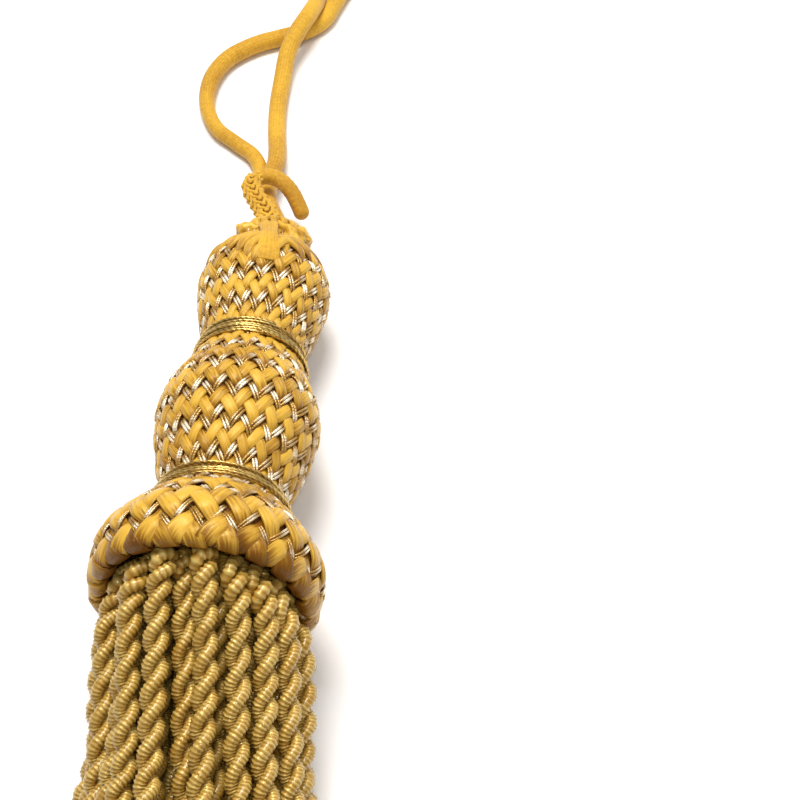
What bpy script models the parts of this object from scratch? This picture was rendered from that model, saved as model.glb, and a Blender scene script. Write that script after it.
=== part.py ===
"""A small upholstery tassel lying on a flat surface.

The head is a padded core in a braided sleeve: a top bulb, a middle bulb and a flared skirt whose rim is
rolled under. Two bindings of thin cord are wound round its waists. A bundle of twisted fringe strands
comes out of the skirt's mouth, and a knitted cord with a hooked end ties the tassel on.

World axes: +Z up, the surface is z = 0, the head points to +Y and the fringe to -Y.
"""

import math

import bmesh
import bpy
import numpy as np

MM = 0.001

# Head: distance along its axis from the rim, and radius, both in millimetres
HEAD_OUTLINE = [
    (0.0, 14.2), (0.5, 15.1), (2.0, 15.8), (4.3, 16.1), (6.6, 15.6), (8.8, 14.4), (12.0, 12.0),
    (14.6, 9.9), (17.0, 8.9), (19.4, 9.4), (22.0, 10.4), (25.4, 11.4), (28.8, 12.2), (32.0, 12.5),
    (35.4, 12.0), (38.9, 10.6), (42.2, 9.2), (44.8, 8.1), (47.0, 7.75), (49.2, 8.1), (52.0, 9.0),
    (55.7, 9.9), (59.0, 10.5), (62.2, 10.75), (65.5, 10.1), (68.3, 8.5), (70.3, 6.9), (71.5, 6.4),
    (73.0, 7.0), (74.6, 6.7), (75.7, 5.7), (76.0, 4.9),
]
WIDEST_RIM = 4.3 * MM
WIDEST_TOP = 62.2 * MM
OUTLINE_STEP = 1.6 * MM
HEAD_SIDES = 48

# The head lies on its rim and on its top bulb, pressed a little flat at both
AXIS_AT_RIM = 15.85 * MM
AXIS_AT_TOP = 10.5 * MM
TILT = math.atan((AXIS_AT_RIM - AXIS_AT_TOP) / (WIDEST_TOP - WIDEST_RIM))

# Gathered ends of the sleeve round the top hole
RUFFLE_FROM = 70.5 * MM
RUFFLE_FULL = 73.0 * MM
RUFFLE_LOBES = 9
RUFFLE_DEPTH = 0.55 * MM
TOP_HOLE_RADIUS = 4.2 * MM
TOP_HOLE_FLOOR = 73.6 * MM

# Mouth of the skirt
MOUTH_RADIUS = 13.6 * MM
MOUTH_DEPTH = 6.6 * MM

# Bindings: where each is centred along the head, and the thickness of its wound cord
BINDING_TURNS = 4
BINDINGS = {
    "upper_binding": (45.4 * MM, 0.85 * MM),
    "lower_binding": (15.8 * MM, 0.68 * MM),
}
GAP = 0.3 * MM

# Fringe
STRANDS = 40
STRAND_PITCH = 3.65 * MM
STRAND_HALF = 1.2 * MM
PACK_RADIUS = 11.15 * MM
FRINGE_LENGTH = 76.0 * MM
LENGTH_SPREAD = 2.2 * MM
SWING = math.radians(6.0)
SINK_RATE = 0.42
BUNDLE_HALF_WIDTH = 13.4 * MM
BUNDLE_SPREAD = 0.0527
MOUTH_FLARE = 0.15
STATION_STEP = 1.0 * MM
STATIONS_KEPT = [0, 3, 6, 9, 12, 16, 20, 25, 30, 36, 43, 50, 57, 65]
PLUG_RADIUS = 13.1 * MM
PLUG_FROM = 2.6 * MM
PLUG_TO = 6.2 * MM

# Cord
CORD_DIAMETER = 3.5 * MM
TIE_POINT_STEP = 2.0 * CORD_DIAMETER
HOOK_POINT_STEP = 0.8 * CORD_DIAMETER

# Everything is placed from the rim's centre; this moves it so that head and fringe are centred on the origin
CENTRING = (-5.21 * MM, 1.01 * MM, 0.0)

# Route of the tie's cord, in millimetres: out of the top hole, under the hook, away along the surface,
# over its own other leg, round the far bend and back beside itself to its tucked end
TIE_ROUTE = [
    (1.0, 74.1, 7.9), (0.5, 78.0, 7.6), (-1.0, 82.0, 6.8), (-2.6, 86.0, 5.8), (-3.7, 90.0, 5.0),
    (-3.8, 95.0, 4.3), (-3.4, 100.0, 3.4), (-3.8, 105.0, 2.4), (-4.7, 111.0, 1.9), (-5.3, 118.0, 1.9),
    (-5.3, 125.0, 2.4), (-5.0, 131.0, 4.1), (-4.2, 136.0, 5.5), (-3.3, 140.0, 5.8), (-2.5, 144.5, 4.8),
    (-2.0, 149.0, 3.0), (-1.9, 154.0, 2.0), (-3.4, 161.0, 1.9), (-5.4, 168.5, 1.9), (-5.0, 176.5, 1.9),
    (-0.6, 183.0, 1.9), (6.6, 184.2, 1.9), (11.8, 179.0, 1.9), (11.8, 171.0, 1.9), (8.6, 163.0, 1.9),
    (5.2, 156.0, 1.9), (3.4, 150.0, 1.9), (1.9, 144.2, 1.9), (-1.6, 140.2, 1.9), (-6.6, 138.3, 1.9),
    (-12.2, 135.8, 1.9), (-17.0, 131.0, 1.9), (-19.3, 124.5, 1.9), (-18.9, 117.0, 1.9), (-16.2, 111.0, 1.9),
    (-12.2, 107.2, 1.9), (-8.8, 103.4, 1.9), (-7.2, 98.8, 1.9), (-7.0, 93.8, 1.9),
]

# Route of the hook, in millimetres: up out of the top hole, over both legs of the tie and down to its end
HOOK_ROUTE = [
    (-0.9, 74.1, 11.3), (-1.1, 76.2, 11.3), (-1.8, 79.0, 11.2), (-3.8, 82.5, 10.9), (-5.5, 86.1, 10.5),
    (-5.1, 88.5, 10.2), (-3.6, 89.7, 9.9), (-1.7, 89.9, 9.4), (-0.1, 89.1, 8.9), (1.3, 87.9, 8.0),
    (2.4, 86.4, 6.9), (3.4, 84.8, 5.7),
]

COLOURS = {
    "braid_gold": (0.62, 0.38, 0.08, 0.42, 0.0),
    "binding_gold": (0.42, 0.27, 0.07, 0.35, 0.4),
    "fringe_gold": (0.38, 0.27, 0.09, 0.55, 0.0),
    "cord_gold": (0.66, 0.38, 0.07, 0.7, 0.0),
}


def clear_scene():
    """Remove every object of the open file."""
    for thing in list(bpy.data.objects):
        bpy.data.objects.remove(thing, do_unlink=True)


def add_to_tassel(thing):
    """Link an object to the scene under the empty that carries the whole tassel."""
    bpy.context.scene.collection.objects.link(thing)
    thing.parent = bpy.data.objects["tassel"]
    return thing


def make_carrier():
    """The empty at the rim's centre that carries every piece."""
    carrier = bpy.data.objects.new("tassel", None)
    carrier.location = CENTRING
    bpy.context.scene.collection.objects.link(carrier)


def coloured(name):
    """A plain Principled material from its row in the table of colours."""
    red, green, blue, roughness, metallic = COLOURS[name]
    material = bpy.data.materials.new(name)
    material.use_nodes = True
    shader = material.node_tree.nodes["Principled BSDF"]
    shader.inputs["Base Color"].default_value = (red, green, blue, 1.0)
    shader.inputs["Roughness"].default_value = roughness
    shader.inputs["Metallic"].default_value = metallic
    return material


def smoothstep(low, high, value):
    """0 below low, 1 above high, and an even S curve between."""
    part = np.clip((value - low) / (high - low), 0.0, 1.0)
    return part * part * (3.0 - 2.0 * part)


def curve_through(points, step):
    """Points about one step apart on the smooth Catmull-Rom curve through the given points."""
    given = np.asarray(points, dtype=float)
    ends = (2.0 * given[0] - given[1], 2.0 * given[-1] - given[-2])
    knots = np.vstack([ends[0], given, ends[1]])
    fine = []
    for first in range(len(given) - 1):
        a, b, c, d = knots[first:first + 4]
        for part in np.linspace(0.0, 1.0, 24, endpoint=False):
            bend = (2.0 * a - 5.0 * b + 4.0 * c - d) * part ** 2 + (3.0 * (b - c) + d - a) * part ** 3
            fine.append(0.5 * (2.0 * b + (c - a) * part + bend))
    fine.append(given[-1])
    fine = np.array(fine)
    lengths = np.linalg.norm(np.diff(fine, axis=0), axis=1)
    travelled = np.concatenate([[0.0], np.cumsum(lengths)])
    count = max(2, round(travelled[-1] / step) + 1)
    wanted = np.linspace(0.0, travelled[-1], count)
    columns = [np.interp(wanted, travelled, fine[:, axis]) for axis in range(fine.shape[1])]
    return np.stack(columns, axis=1)


def head_outline():
    """The head's outer side as smooth (along, radius) points in metres."""
    return curve_through(np.array(HEAD_OUTLINE) * MM, OUTLINE_STEP)


def head_radius(along):
    """The head's radius at one or more distances along its axis."""
    outline = head_outline()
    return np.interp(along, outline[:, 0], outline[:, 1])


def place_on_axis(thing):
    """Lay an object that was turned round +Y from the rim's centre along the head's real axis."""
    thing.rotation_euler = (-TILT, 0.0, 0.0)
    thing.location = (0.0, 0.0, AXIS_AT_RIM + WIDEST_RIM * math.tan(TILT))


def add_object(name, mesh, material):
    """A new object with its mesh and material in the scene."""
    mesh.materials.append(material)
    return add_to_tassel(bpy.data.objects.new(name, mesh))


def turned(name, outline, sides, material):
    """A closed solid made by spinning an (along, radius) outline round the Y axis."""
    work = bmesh.new()
    points = [work.verts.new((radius, along, 0.0)) for along, radius in outline]
    lines = [work.edges.new(pair) for pair in zip(points, points[1:])]
    bmesh.ops.spin(
        work,
        geom=points + lines,
        cent=(0.0, 0.0, 0.0),
        axis=(0.0, 1.0, 0.0),
        angle=2.0 * math.pi,
        steps=sides,
    )
    bmesh.ops.remove_doubles(work, verts=work.verts, dist=0.001 * MM)
    bmesh.ops.recalc_face_normals(work, faces=work.faces)
    mesh = bpy.data.meshes.new(name)
    work.to_mesh(mesh)
    work.free()
    mesh.shade_smooth()
    mesh.set_sharp_from_angle(angle=math.radians(40.0))
    return add_object(name, mesh, material)


def make_guide(thing):
    """Mark an object as a cutter or guide that is no piece of the tassel."""
    thing.hide_render = True
    thing.display_type = "WIRE"


def combine(thing, tool, operation):
    """Join or cut an object with another by an exact Boolean."""
    step = thing.modifiers.new(operation.title(), "BOOLEAN")
    step.operation = operation
    step.solver = "EXACT"
    step.object = tool


def block_below_surface():
    """A block whose top is the surface that the tassel lies on."""
    mesh = bpy.data.meshes.new("surface_block")
    work = bmesh.new()
    bmesh.ops.create_cube(work, size=1.0)
    bmesh.ops.scale(work, vec=(60.0 * MM, 120.0 * MM, 10.0 * MM), verts=work.verts)
    bmesh.ops.translate(work, vec=(0.0, 30.0 * MM, -5.0 * MM), verts=work.verts)
    work.to_mesh(mesh)
    work.free()
    block = add_to_tassel(bpy.data.objects.new("surface_block", mesh))
    make_guide(block)
    return block


def make_head(material):
    """The padded, sleeve-covered head with its open mouth, its ruffle and its two flat resting spots."""
    mouth = [
        (MOUTH_DEPTH, 0.0),
        (MOUTH_DEPTH, MOUTH_RADIUS - 0.9 * MM),
        (MOUTH_DEPTH - 0.9 * MM, MOUTH_RADIUS),
        (0.5 * MM, MOUTH_RADIUS),
    ]
    top = [
        (TOP_HOLE_FLOOR + 1.6 * MM, TOP_HOLE_RADIUS),
        (TOP_HOLE_FLOOR, TOP_HOLE_RADIUS),
        (TOP_HOLE_FLOOR, 0.0),
    ]
    outline = mouth + [tuple(point) for point in head_outline()] + top
    head = turned("head_cover", outline, HEAD_SIDES, material)
    for vertex in head.data.vertices:
        x, along, z = vertex.co
        radius = math.hypot(x, z)
        if along < RUFFLE_FROM or radius <= TOP_HOLE_RADIUS * 1.01:
            continue
        rise = smoothstep(RUFFLE_FROM, RUFFLE_FULL, along)
        lobe = RUFFLE_DEPTH * rise * math.cos(RUFFLE_LOBES * math.atan2(z, x))
        scale = 1.0 + lobe / radius
        vertex.co = (x * scale, along, z * scale)
    place_on_axis(head)
    combine(head, block_below_surface(), "DIFFERENCE")
    return head


def make_binding(name, centre, thickness, material):
    """One binding: four turns of thin cord side by side, fused as one ribbed ring in the waist."""
    half = 0.5 * BINDING_TURNS * thickness
    inner_along = np.linspace(centre + half, centre - half, 9)
    inner = [(along, head_radius(along) + GAP) for along in inner_along]
    outer = []
    for turn in range(BINDING_TURNS):
        middle = centre - half + (turn + 0.5) * thickness
        crest = head_radius(middle) + GAP + thickness
        for angle in np.radians([200.0, 235.0, 270.0, 305.0, 340.0]):
            along = middle + 0.5 * thickness * math.cos(angle)
            outer.append((along, crest - 0.5 * thickness * (1.0 + math.sin(angle))))
    binding = turned(name, inner + outer + inner[:1], HEAD_SIDES, material)
    place_on_axis(binding)
    return binding


def pushed_apart(centres, half_width, rounds):
    """Move strand centres sideways until none is nearer to another than the pitch, and none is in the surface."""
    moved = centres.copy()
    for _ in range(rounds):
        between = moved[:, None, :] - moved[None, :, :]
        apart = np.linalg.norm(between, axis=2)
        np.fill_diagonal(apart, 1.0)
        short = np.clip(STRAND_PITCH - apart, 0.0, None)
        moved += 0.5 * np.sum(between * (short / apart)[:, :, None], axis=1)
        moved[:, 0] = np.clip(moved[:, 0], -half_width, half_width)
        moved[:, 1] = np.maximum(moved[:, 1], 0.5 * STRAND_PITCH)
    return moved


def strand_centres():
    """Centres (x, z) of every strand at each millimetre from the mouth outward.

    They start packed round in the mouth, on a sunflower pattern. Each millimetre further out they sink a
    little and push each other aside, until the lowest of them lie side by side on the surface.
    """
    order = np.arange(STRANDS)
    radius = PACK_RADIUS * np.sqrt((order + 0.5) / STRANDS)
    turn = order * math.pi * (3.0 - math.sqrt(5.0))
    centres = np.stack([radius * np.cos(turn), radius * np.sin(turn)], axis=1)
    for _ in range(80):
        centres = pushed_apart(centres + (0.0, 1.0), BUNDLE_HALF_WIDTH, 1) - (0.0, 1.0)
        reach = np.linalg.norm(centres, axis=1)
        centres *= np.minimum(1.0, PACK_RADIUS / reach)[:, None]
    centres += (0.0, AXIS_AT_RIM + WIDEST_RIM * math.tan(TILT))
    rows = [centres]
    count = round(FRINGE_LENGTH / STATION_STEP)
    for station in range(count):
        centres = centres - (0.0, SINK_RATE * STATION_STEP)
        half_width = BUNDLE_HALF_WIDTH + BUNDLE_SPREAD * station * STATION_STEP
        centres = pushed_apart(centres, half_width, 30)
        rows.append(centres)
    rows = np.array(rows)
    for _ in range(6):
        rows[1:-1] = 0.25 * rows[:-2] + 0.5 * rows[1:-1] + 0.25 * rows[2:]
    return rows


def flare(distance):
    """How much wider than it was packed the bundle stands where it comes out from under the rim."""
    opening = smoothstep(0.0, 5.0 * MM, distance) - smoothstep(9.0 * MM, 26.0 * MM, distance)
    return 1.0 + MOUTH_FLARE * opening


def strand_path(rows, index):
    """One strand's centres in the world, from inside the plug to its free end."""
    inside = 0.5 * (PLUG_FROM + PLUG_TO)
    x, z = rows[0, index]
    path = [(x, inside, z - inside * math.tan(TILT))]
    for station in STATIONS_KEPT:
        distance = station * STATION_STEP
        x, z = rows[station, index]
        path.append((x * flare(distance) + distance * math.tan(SWING), -distance, z))
    end = FRINGE_LENGTH + LENGTH_SPREAD * math.sin(2.4 * index)
    x, z = rows[-1, index]
    path.append((x + end * math.tan(SWING), -end, z))
    return path


def section(work, centre):
    """Four corners of a strand's section, its underside let down to the surface where the strand lies on it."""
    x, y, z = centre
    clear = max(0.0, z - 0.5 * STRAND_PITCH)
    under = min(clear + 0.5 * STRAND_PITCH - STRAND_HALF, 3.0 * clear)
    corners = [
        (x - STRAND_HALF, y, under),
        (x + STRAND_HALF, y, under),
        (x + STRAND_HALF, y, z + STRAND_HALF),
        (x - STRAND_HALF, y, z + STRAND_HALF),
    ]
    return [work.verts.new(corner) for corner in corners]


def make_fringe(material):
    """The fringe: four-sided strands, apart from each other, fused at their roots in a plug in the mouth."""
    rows = strand_centres()
    work = bmesh.new()
    for index in range(STRANDS):
        rings = [section(work, centre) for centre in strand_path(rows, index)]
        work.faces.new(rings[0])
        work.faces.new(rings[-1])
        for near, far in zip(rings, rings[1:]):
            for corner in range(4):
                other = (corner + 1) % 4
                work.faces.new((near[corner], near[other], far[other], far[corner]))
    bmesh.ops.recalc_face_normals(work, faces=work.faces)
    mesh = bpy.data.meshes.new("strands")
    work.to_mesh(mesh)
    work.free()
    strands = add_to_tassel(bpy.data.objects.new("strands", mesh))
    make_guide(strands)

    plug_outline = [
        (PLUG_FROM, 0.0),
        (PLUG_FROM, PLUG_RADIUS),
        (PLUG_TO - 0.6 * MM, PLUG_RADIUS),
        (PLUG_TO, PLUG_RADIUS - 0.8 * MM),
        (PLUG_TO, 0.0),
    ]
    fringe = turned("bullion_fringe", plug_outline, HEAD_SIDES, material)
    place_on_axis(fringe)
    combine(fringe, strands, "UNION")
    return fringe


def make_cord(name, route, step, material):
    """A round cord as a beveled curve along a smooth line through its route."""
    points = curve_through(np.array(route) * MM, step)
    curve = bpy.data.curves.new(name, "CURVE")
    curve.dimensions = "3D"
    curve.bevel_depth = 0.5 * CORD_DIAMETER
    curve.bevel_resolution = 2
    curve.use_fill_caps = True
    spline = curve.splines.new("POLY")
    spline.points.add(len(points) - 1)
    for slot, (x, y, z) in zip(spline.points, points):
        slot.co = (x, y, z, 1.0)
    curve.materials.append(material)
    return add_to_tassel(bpy.data.objects.new(name, curve))


def main():
    """Build every piece of the tassel."""
    clear_scene()
    make_carrier()
    materials = {name: coloured(name) for name in COLOURS}
    make_head(materials["braid_gold"])
    for name, (centre, thickness) in BINDINGS.items():
        make_binding(name, centre, thickness, materials["binding_gold"])
    make_fringe(materials["fringe_gold"])
    make_cord("tie_cord", TIE_ROUTE, TIE_POINT_STEP, materials["cord_gold"])
    make_cord("hook_cord", HOOK_ROUTE, HOOK_POINT_STEP, materials["cord_gold"])


main()
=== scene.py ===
"""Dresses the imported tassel: knitted cords, braided sleeve, wound bindings and twisted bullion fringe.

Laid out as an add-on and run as a script. The frame's metres and axes are used throughout: +Z is up, the
surface is z = 0, the head points to +Y and the fringe to -Y.
"""

import math

import bpy
import numpy as np
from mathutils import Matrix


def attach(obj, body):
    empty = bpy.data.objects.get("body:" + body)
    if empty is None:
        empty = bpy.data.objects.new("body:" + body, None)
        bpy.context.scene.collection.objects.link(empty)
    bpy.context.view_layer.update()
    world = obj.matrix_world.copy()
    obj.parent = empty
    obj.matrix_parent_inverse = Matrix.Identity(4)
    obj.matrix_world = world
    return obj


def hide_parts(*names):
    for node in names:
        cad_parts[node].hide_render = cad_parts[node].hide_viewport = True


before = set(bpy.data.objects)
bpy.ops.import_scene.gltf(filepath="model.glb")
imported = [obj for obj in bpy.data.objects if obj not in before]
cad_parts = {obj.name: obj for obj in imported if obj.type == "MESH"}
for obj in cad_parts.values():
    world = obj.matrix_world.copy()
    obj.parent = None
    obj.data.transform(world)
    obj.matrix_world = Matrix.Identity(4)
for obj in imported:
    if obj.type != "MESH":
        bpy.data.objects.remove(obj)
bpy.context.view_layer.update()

bl_info = {
    "name": "Tassel dressing",
    "version": (1, 0, 0),
    "blender": (4, 5, 0),
    "location": "3D View > Sidebar > Tassel",
    "description": "Makes the braid, bindings, fringe and cords of a small gold tassel",
    "category": "Object",
}

MM = 0.001

# Where the rim's centre lies in the frame
RIM_CENTRE = np.array([-5.21, 1.01, 0.0]) * MM

# Head: distance along its axis from the rim, and radius, both in millimetres
HEAD_OUTLINE = [
    (0.0, 14.2), (0.5, 15.1), (2.0, 15.8), (4.3, 16.1), (6.6, 15.6), (8.8, 14.4), (12.0, 12.0),
    (14.6, 9.9), (17.0, 8.9), (19.4, 9.4), (22.0, 10.3), (25.4, 11.2), (28.8, 11.9), (32.0, 12.2),
    (35.4, 11.8), (38.9, 10.5), (42.2, 9.2), (44.8, 8.1), (47.0, 7.75), (49.2, 8.1), (52.0, 9.0),
    (55.7, 9.9), (59.0, 10.5), (61.8, 10.65), (64.5, 10.0), (66.8, 8.6), (68.6, 7.1), (70.2, 6.3),
    (71.6, 6.0), (73.0, 6.1), (74.4, 5.9),
]
MOUTH_TURN = [(6.2, 13.2), (4.0, 13.35), (2.0, 13.35), (0.6, 13.6)]
TOP_TURN = [(75.1, 5.0), (75.0, 3.9), (74.0, 3.5)]
WIDEST_RIM = 4.3 * MM
WIDEST_TOP = 62.2 * MM
AXIS_AT_RIM = 15.85 * MM
AXIS_AT_TOP = 10.5 * MM
TILT = math.atan((AXIS_AT_RIM - AXIS_AT_TOP) / (WIDEST_TOP - WIDEST_RIM))
AXIS_START = AXIS_AT_RIM + WIDEST_RIM * math.tan(TILT)

# Where along the axis the middle of each binding lies
UPPER_BINDING = 45.4 * MM
LOWER_BINDING = 15.8 * MM

# Fringe lay, as in the part
STRANDS = 40
STRAND_PITCH = 3.65 * MM
PACK_RADIUS = 11.15 * MM
FRINGE_LENGTH = 76.0 * MM
LENGTH_SPREAD = 2.2 * MM
SWING = math.radians(6.0)
SINK_RATE = 0.42
BUNDLE_HALF_WIDTH = 13.4 * MM
BUNDLE_SPREAD = 0.0527
MOUTH_FLARE = 0.15
STATION_STEP = 1.0 * MM

# Height below which a surface is pressed flat on the floor
SLEEVE_SOFTNESS = 0.5 * MM
CORD_SOFTNESS = 0.3 * MM
CORE_SOFTNESS = 0.6 * MM

# Cord routes in millimetres from the rim's centre, close to the part's
CORD_DIAMETER = 3.5 * MM
TIE_ROUTE = [
    (1.0, 74.1, 7.9), (0.5, 78.0, 7.6), (-1.0, 82.0, 6.8), (-2.6, 86.0, 5.8), (-3.7, 90.0, 5.0),
    (-3.8, 95.0, 4.3), (-3.4, 100.0, 3.4), (-3.8, 105.0, 2.4), (-4.7, 111.0, 1.9), (-5.3, 118.0, 1.9),
    (-5.3, 125.0, 2.4), (-4.9, 131.0, 4.1), (-3.5, 136.0, 5.4), (-2.1, 140.0, 5.8), (-1.2, 144.5, 5.0),
    (-0.9, 149.0, 3.4), (-1.3, 154.0, 2.2), (-3.2, 161.0, 1.9), (-5.3, 168.5, 1.9), (-5.0, 176.5, 1.9),
    (-0.6, 183.0, 1.9), (6.6, 184.2, 1.9), (11.8, 179.0, 1.9), (11.8, 171.0, 1.9), (8.2, 163.0, 1.9),
    (4.3, 156.0, 1.9), (2.4, 150.0, 1.9), (0.8, 144.8, 1.9), (-2.5, 141.0, 1.9), (-7.0, 138.6, 1.9),
    (-12.2, 135.8, 1.9), (-17.0, 131.0, 1.9), (-19.3, 124.5, 1.9), (-19.0, 117.0, 1.9), (-16.3, 110.9, 1.8),
    (-12.2, 107.2, 1.6), (-8.2, 103.7, 1.6), (-6.3, 99.3, 1.6), (-6.4, 94.6, 1.6),
]
HOOK_ROUTE = [
    (-0.3, 71.2, 10.4), (-0.9, 74.1, 11.3), (-1.1, 76.2, 11.3), (-1.8, 79.0, 11.2), (-3.8, 82.5, 10.9),
    (-5.5, 86.1, 10.5), (-5.1, 88.5, 10.2), (-3.6, 89.7, 9.9), (-1.7, 89.9, 9.4), (-0.1, 89.1, 8.9),
    (1.3, 87.9, 8.0), (2.4, 86.4, 6.9), (3.4, 84.8, 5.7),
]

# Flat root of the hook on the top bulb: distance along the axis, radius and turn in radians
ROOT_ROUTE = [
    (73.0, 5.6, -0.09), (71.5, 6.6, -0.05), (70.0, 7.35, 0.01), (68.5, 8.0, 0.04), (67.0, 8.8, 0.065),
    (65.5, 9.75, 0.085), (64.0, 10.4, 0.10), (62.5, 10.85, 0.12), (61.0, 10.95, 0.13), (59.8, 10.8, 0.135),
    (58.6, 10.3, 0.135),
]

# Pleats round the top hole: turn and distance where each starts and ends, its arch and its width. Turns are
# in radians, the rest in millimetres
PLEATS = [
    (0.06, 67.0, -0.10, 62.0, 0.0, 1.5), (0.00, 69.5, -0.24, 62.8, 0.0, 1.7),
    (-0.04, 70.8, -0.40, 64.2, 0.3, 1.7), (-0.14, 71.2, -0.60, 65.6, 0.3, 1.6),
    (-0.40, 71.0, -0.84, 66.6, 0.0, 1.5), (-0.74, 71.0, -1.12, 67.4, 0.0, 1.5),
    (0.20, 65.4, 0.70, 65.4, 3.4, 1.6), (0.26, 68.8, 0.88, 67.0, 2.6, 1.6),
    (0.40, 73.0, 1.08, 67.8, 1.0, 1.7), (0.80, 74.5, 1.34, 68.6, 0.5, 1.7),
    (1.20, 75.0, 1.70, 69.0, 0.0, 1.8), (1.65, 75.0, 2.05, 69.5, 0.0, 1.8),
    (2.15, 75.0, 2.40, 69.5, 0.0, 1.8), (2.60, 75.0, 2.75, 69.5, 0.0, 1.8),
    (3.10, 75.0, 3.10, 69.5, 0.0, 1.8), (-1.05, 75.0, -1.45, 69.0, 0.0, 1.8),
    (-1.45, 75.0, -1.85, 69.5, 0.0, 1.8), (-2.20, 75.0, -2.42, 69.5, 0.0, 1.8),
    (-2.70, 75.0, -2.78, 69.5, 0.0, 1.8),
]


# Sizes and colours that a user would change

def number(name, description, default, **kind):
    """A setting that holds one number, with its unit or subtype by name."""
    return bpy.props.FloatProperty(name=name, description=description, default=default, **kind)


def metres(name, description, default):
    """A setting that holds a length."""
    return number(name, description, default, unit="LENGTH")


def count(name, description, default, least, most):
    """A setting that holds a whole number."""
    return bpy.props.IntProperty(name=name, description=description, default=default, min=least, max=most)


def colour(name, description, default):
    """A setting that holds a colour."""
    return bpy.props.FloatVectorProperty(
        name=name, description=description, default=default, subtype="COLOR",
    )


class TasselStageSettings(bpy.types.PropertyGroup):
    """Camera and studio."""

    camera_place: bpy.props.FloatVectorProperty(
        name="Camera place", description="Where the camera stands", subtype="XYZ", unit="LENGTH",
        default=(0.02823, -0.09474, 0.1862),
    )
    camera_pitch: number("Camera pitch", "How far the camera looks down", 0.908, subtype="ANGLE")
    camera_turn: number(
        "Camera turn", "How far the camera is turned left of the head's axis", 0.071, subtype="ANGLE",
    )
    camera_lens: number("Lens", "Focal length for a 36 mm wide picture, in millimetres", 64.9)
    floor_colour: colour("Floor", "Colour of the floor", (0.95, 0.95, 0.96))
    key_power: number("Key light", "Power of the large soft light over the object, in watts", 1.9)
    flash_power: number("Flash", "Power of the small lamp beside the camera, in watts", 0.14)
    fill_power: number("Fill light", "Power of the soft light behind the head, in watts", 0.4)


class TasselCordSettings(bpy.types.PropertyGroup):
    """The knitted cord of tie and hook."""

    wales: count("Wales", "Columns of stitches round the cord", 10, 4, 16)
    row_pitch: metres("Row pitch", "Length of one row of stitches", 0.0009)
    relief: metres("Relief", "Height of a stitch over the cord", 0.00006)
    open_wales: count("Open wales", "Columns of loops round the stretched hook", 5, 3, 12)
    open_pitch: metres("Open row pitch", "Length of one row of the stretched hook", 0.0017)
    yarn: metres("Yarn", "Diameter of the knitting yarn", 0.00072)
    light_colour: colour("Lit yarn", "Colour of a stitch's crest", (0.72, 0.41, 0.03))
    # Painted shade: the deep yarn colour stands for the shade between stitches, and also shows in random
    # patches
    deep_colour: colour("Deep yarn", "Colour between stitches", (0.40, 0.18, 0.008))


class TasselBraidSettings(bpy.types.PropertyGroup):
    """The braided sleeve of the head."""

    carriers: count("Carriers", "Strands that run each way round the sleeve", 44, 8, 80)
    seat: metres("Seat", "Depth of the sleeve's middle under the head's outline", 0.0004)
    level_step: metres("Level step", "Distance along the sleeve from one crossing to the next", 0.0014)
    first_ring: metres("First ring", "Distance from the rim's edge to the first bright ring", 0.00505)
    lift: metres("Lift", "How far a strand rises over and sinks under the sleeve's middle", 0.00027)
    ribbon_width: metres("Ribbon width", "Width of a gold ribbon", 0.00195)
    ribbon_thickness: metres("Ribbon thickness", "Thickness of a gold ribbon", 0.0005)
    thread: metres("Bright thread", "Diameter of each thread of a bright pair", 0.00046)
    # Lit and shaded ribbon: besides the filaments, the tone paints light and shade by mixing between these two
    # colours
    ribbon_light: colour("Ribbon", "Colour of the ribbon's lit filaments", (0.72, 0.42, 0.05))
    ribbon_deep: colour("Ribbon, deep", "Colour between the ribbon's filaments", (0.24, 0.088, 0.003))
    # Painted highlight: the near-white foil colour at the crown of each float; the darker colour in the foil's
    # material is its painted shade
    thread_highlight_colour: colour("Bright threads", "Colour of the foil on the bright threads", (0.96, 0.86, 0.66))
    # Painted shade: this dark colour stands for the shade between and under the braid's strands and inside the
    # mouth
    painted_shade_colour: colour("Under the braid", "Colour of the core between the strands", (0.13, 0.042, 0.002))


class TasselBindingSettings(bpy.types.PropertyGroup):
    """The two bindings."""

    turns: count("Turns", "Turns of cord in each binding", 4, 1, 8)
    upper_cord: metres("Upper cord", "Diameter of the upper binding's cord", 0.00085)
    lower_cord: metres("Lower cord", "Diameter of the lower binding's cord", 0.00068)
    lay: metres("Lay", "Length in which the cord's two plies turn once", 0.07)
    colour: colour("Binding", "Colour of the bindings' metal thread", (0.80, 0.56, 0.18))


class TasselFringeSettings(bpy.types.PropertyGroup):
    """The twisted bullion fringe."""

    ply: metres("Ply", "Diameter of each of a strand's two plies", 0.00175)
    twist: metres("Twist", "Length of one full turn of a strand", 0.0072)
    ridge: metres("Ridge pitch", "Distance between the ridges of the thread wound on a ply", 0.00043)
    ridge_height: metres("Ridge height", "Height of those ridges", 0.00018)
    # Lit and shaded fringe: the crest colour carries the painted glints on the ridges, the deep one the
    # painted shade between them and on the strands underneath
    crest_colour: colour("Fringe crest", "Colour on the ridges", (0.71, 0.52, 0.16))
    deep_colour: colour("Fringe, deep", "Colour between the ridges", (0.38, 0.19, 0.015))


class TasselSettings(bpy.types.PropertyGroup):
    """All settings of the tassel."""

    stage: bpy.props.PointerProperty(type=TasselStageSettings, name="Stage", description="Camera and studio")
    cord: bpy.props.PointerProperty(type=TasselCordSettings, name="Cord", description="Tie and hook")
    braid: bpy.props.PointerProperty(type=TasselBraidSettings, name="Braid", description="Sleeve of the head")
    binding: bpy.props.PointerProperty(
        type=TasselBindingSettings, name="Bindings", description="The two bindings",
    )
    fringe: bpy.props.PointerProperty(type=TasselFringeSettings, name="Fringe", description="The fringe")


# Materials

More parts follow.
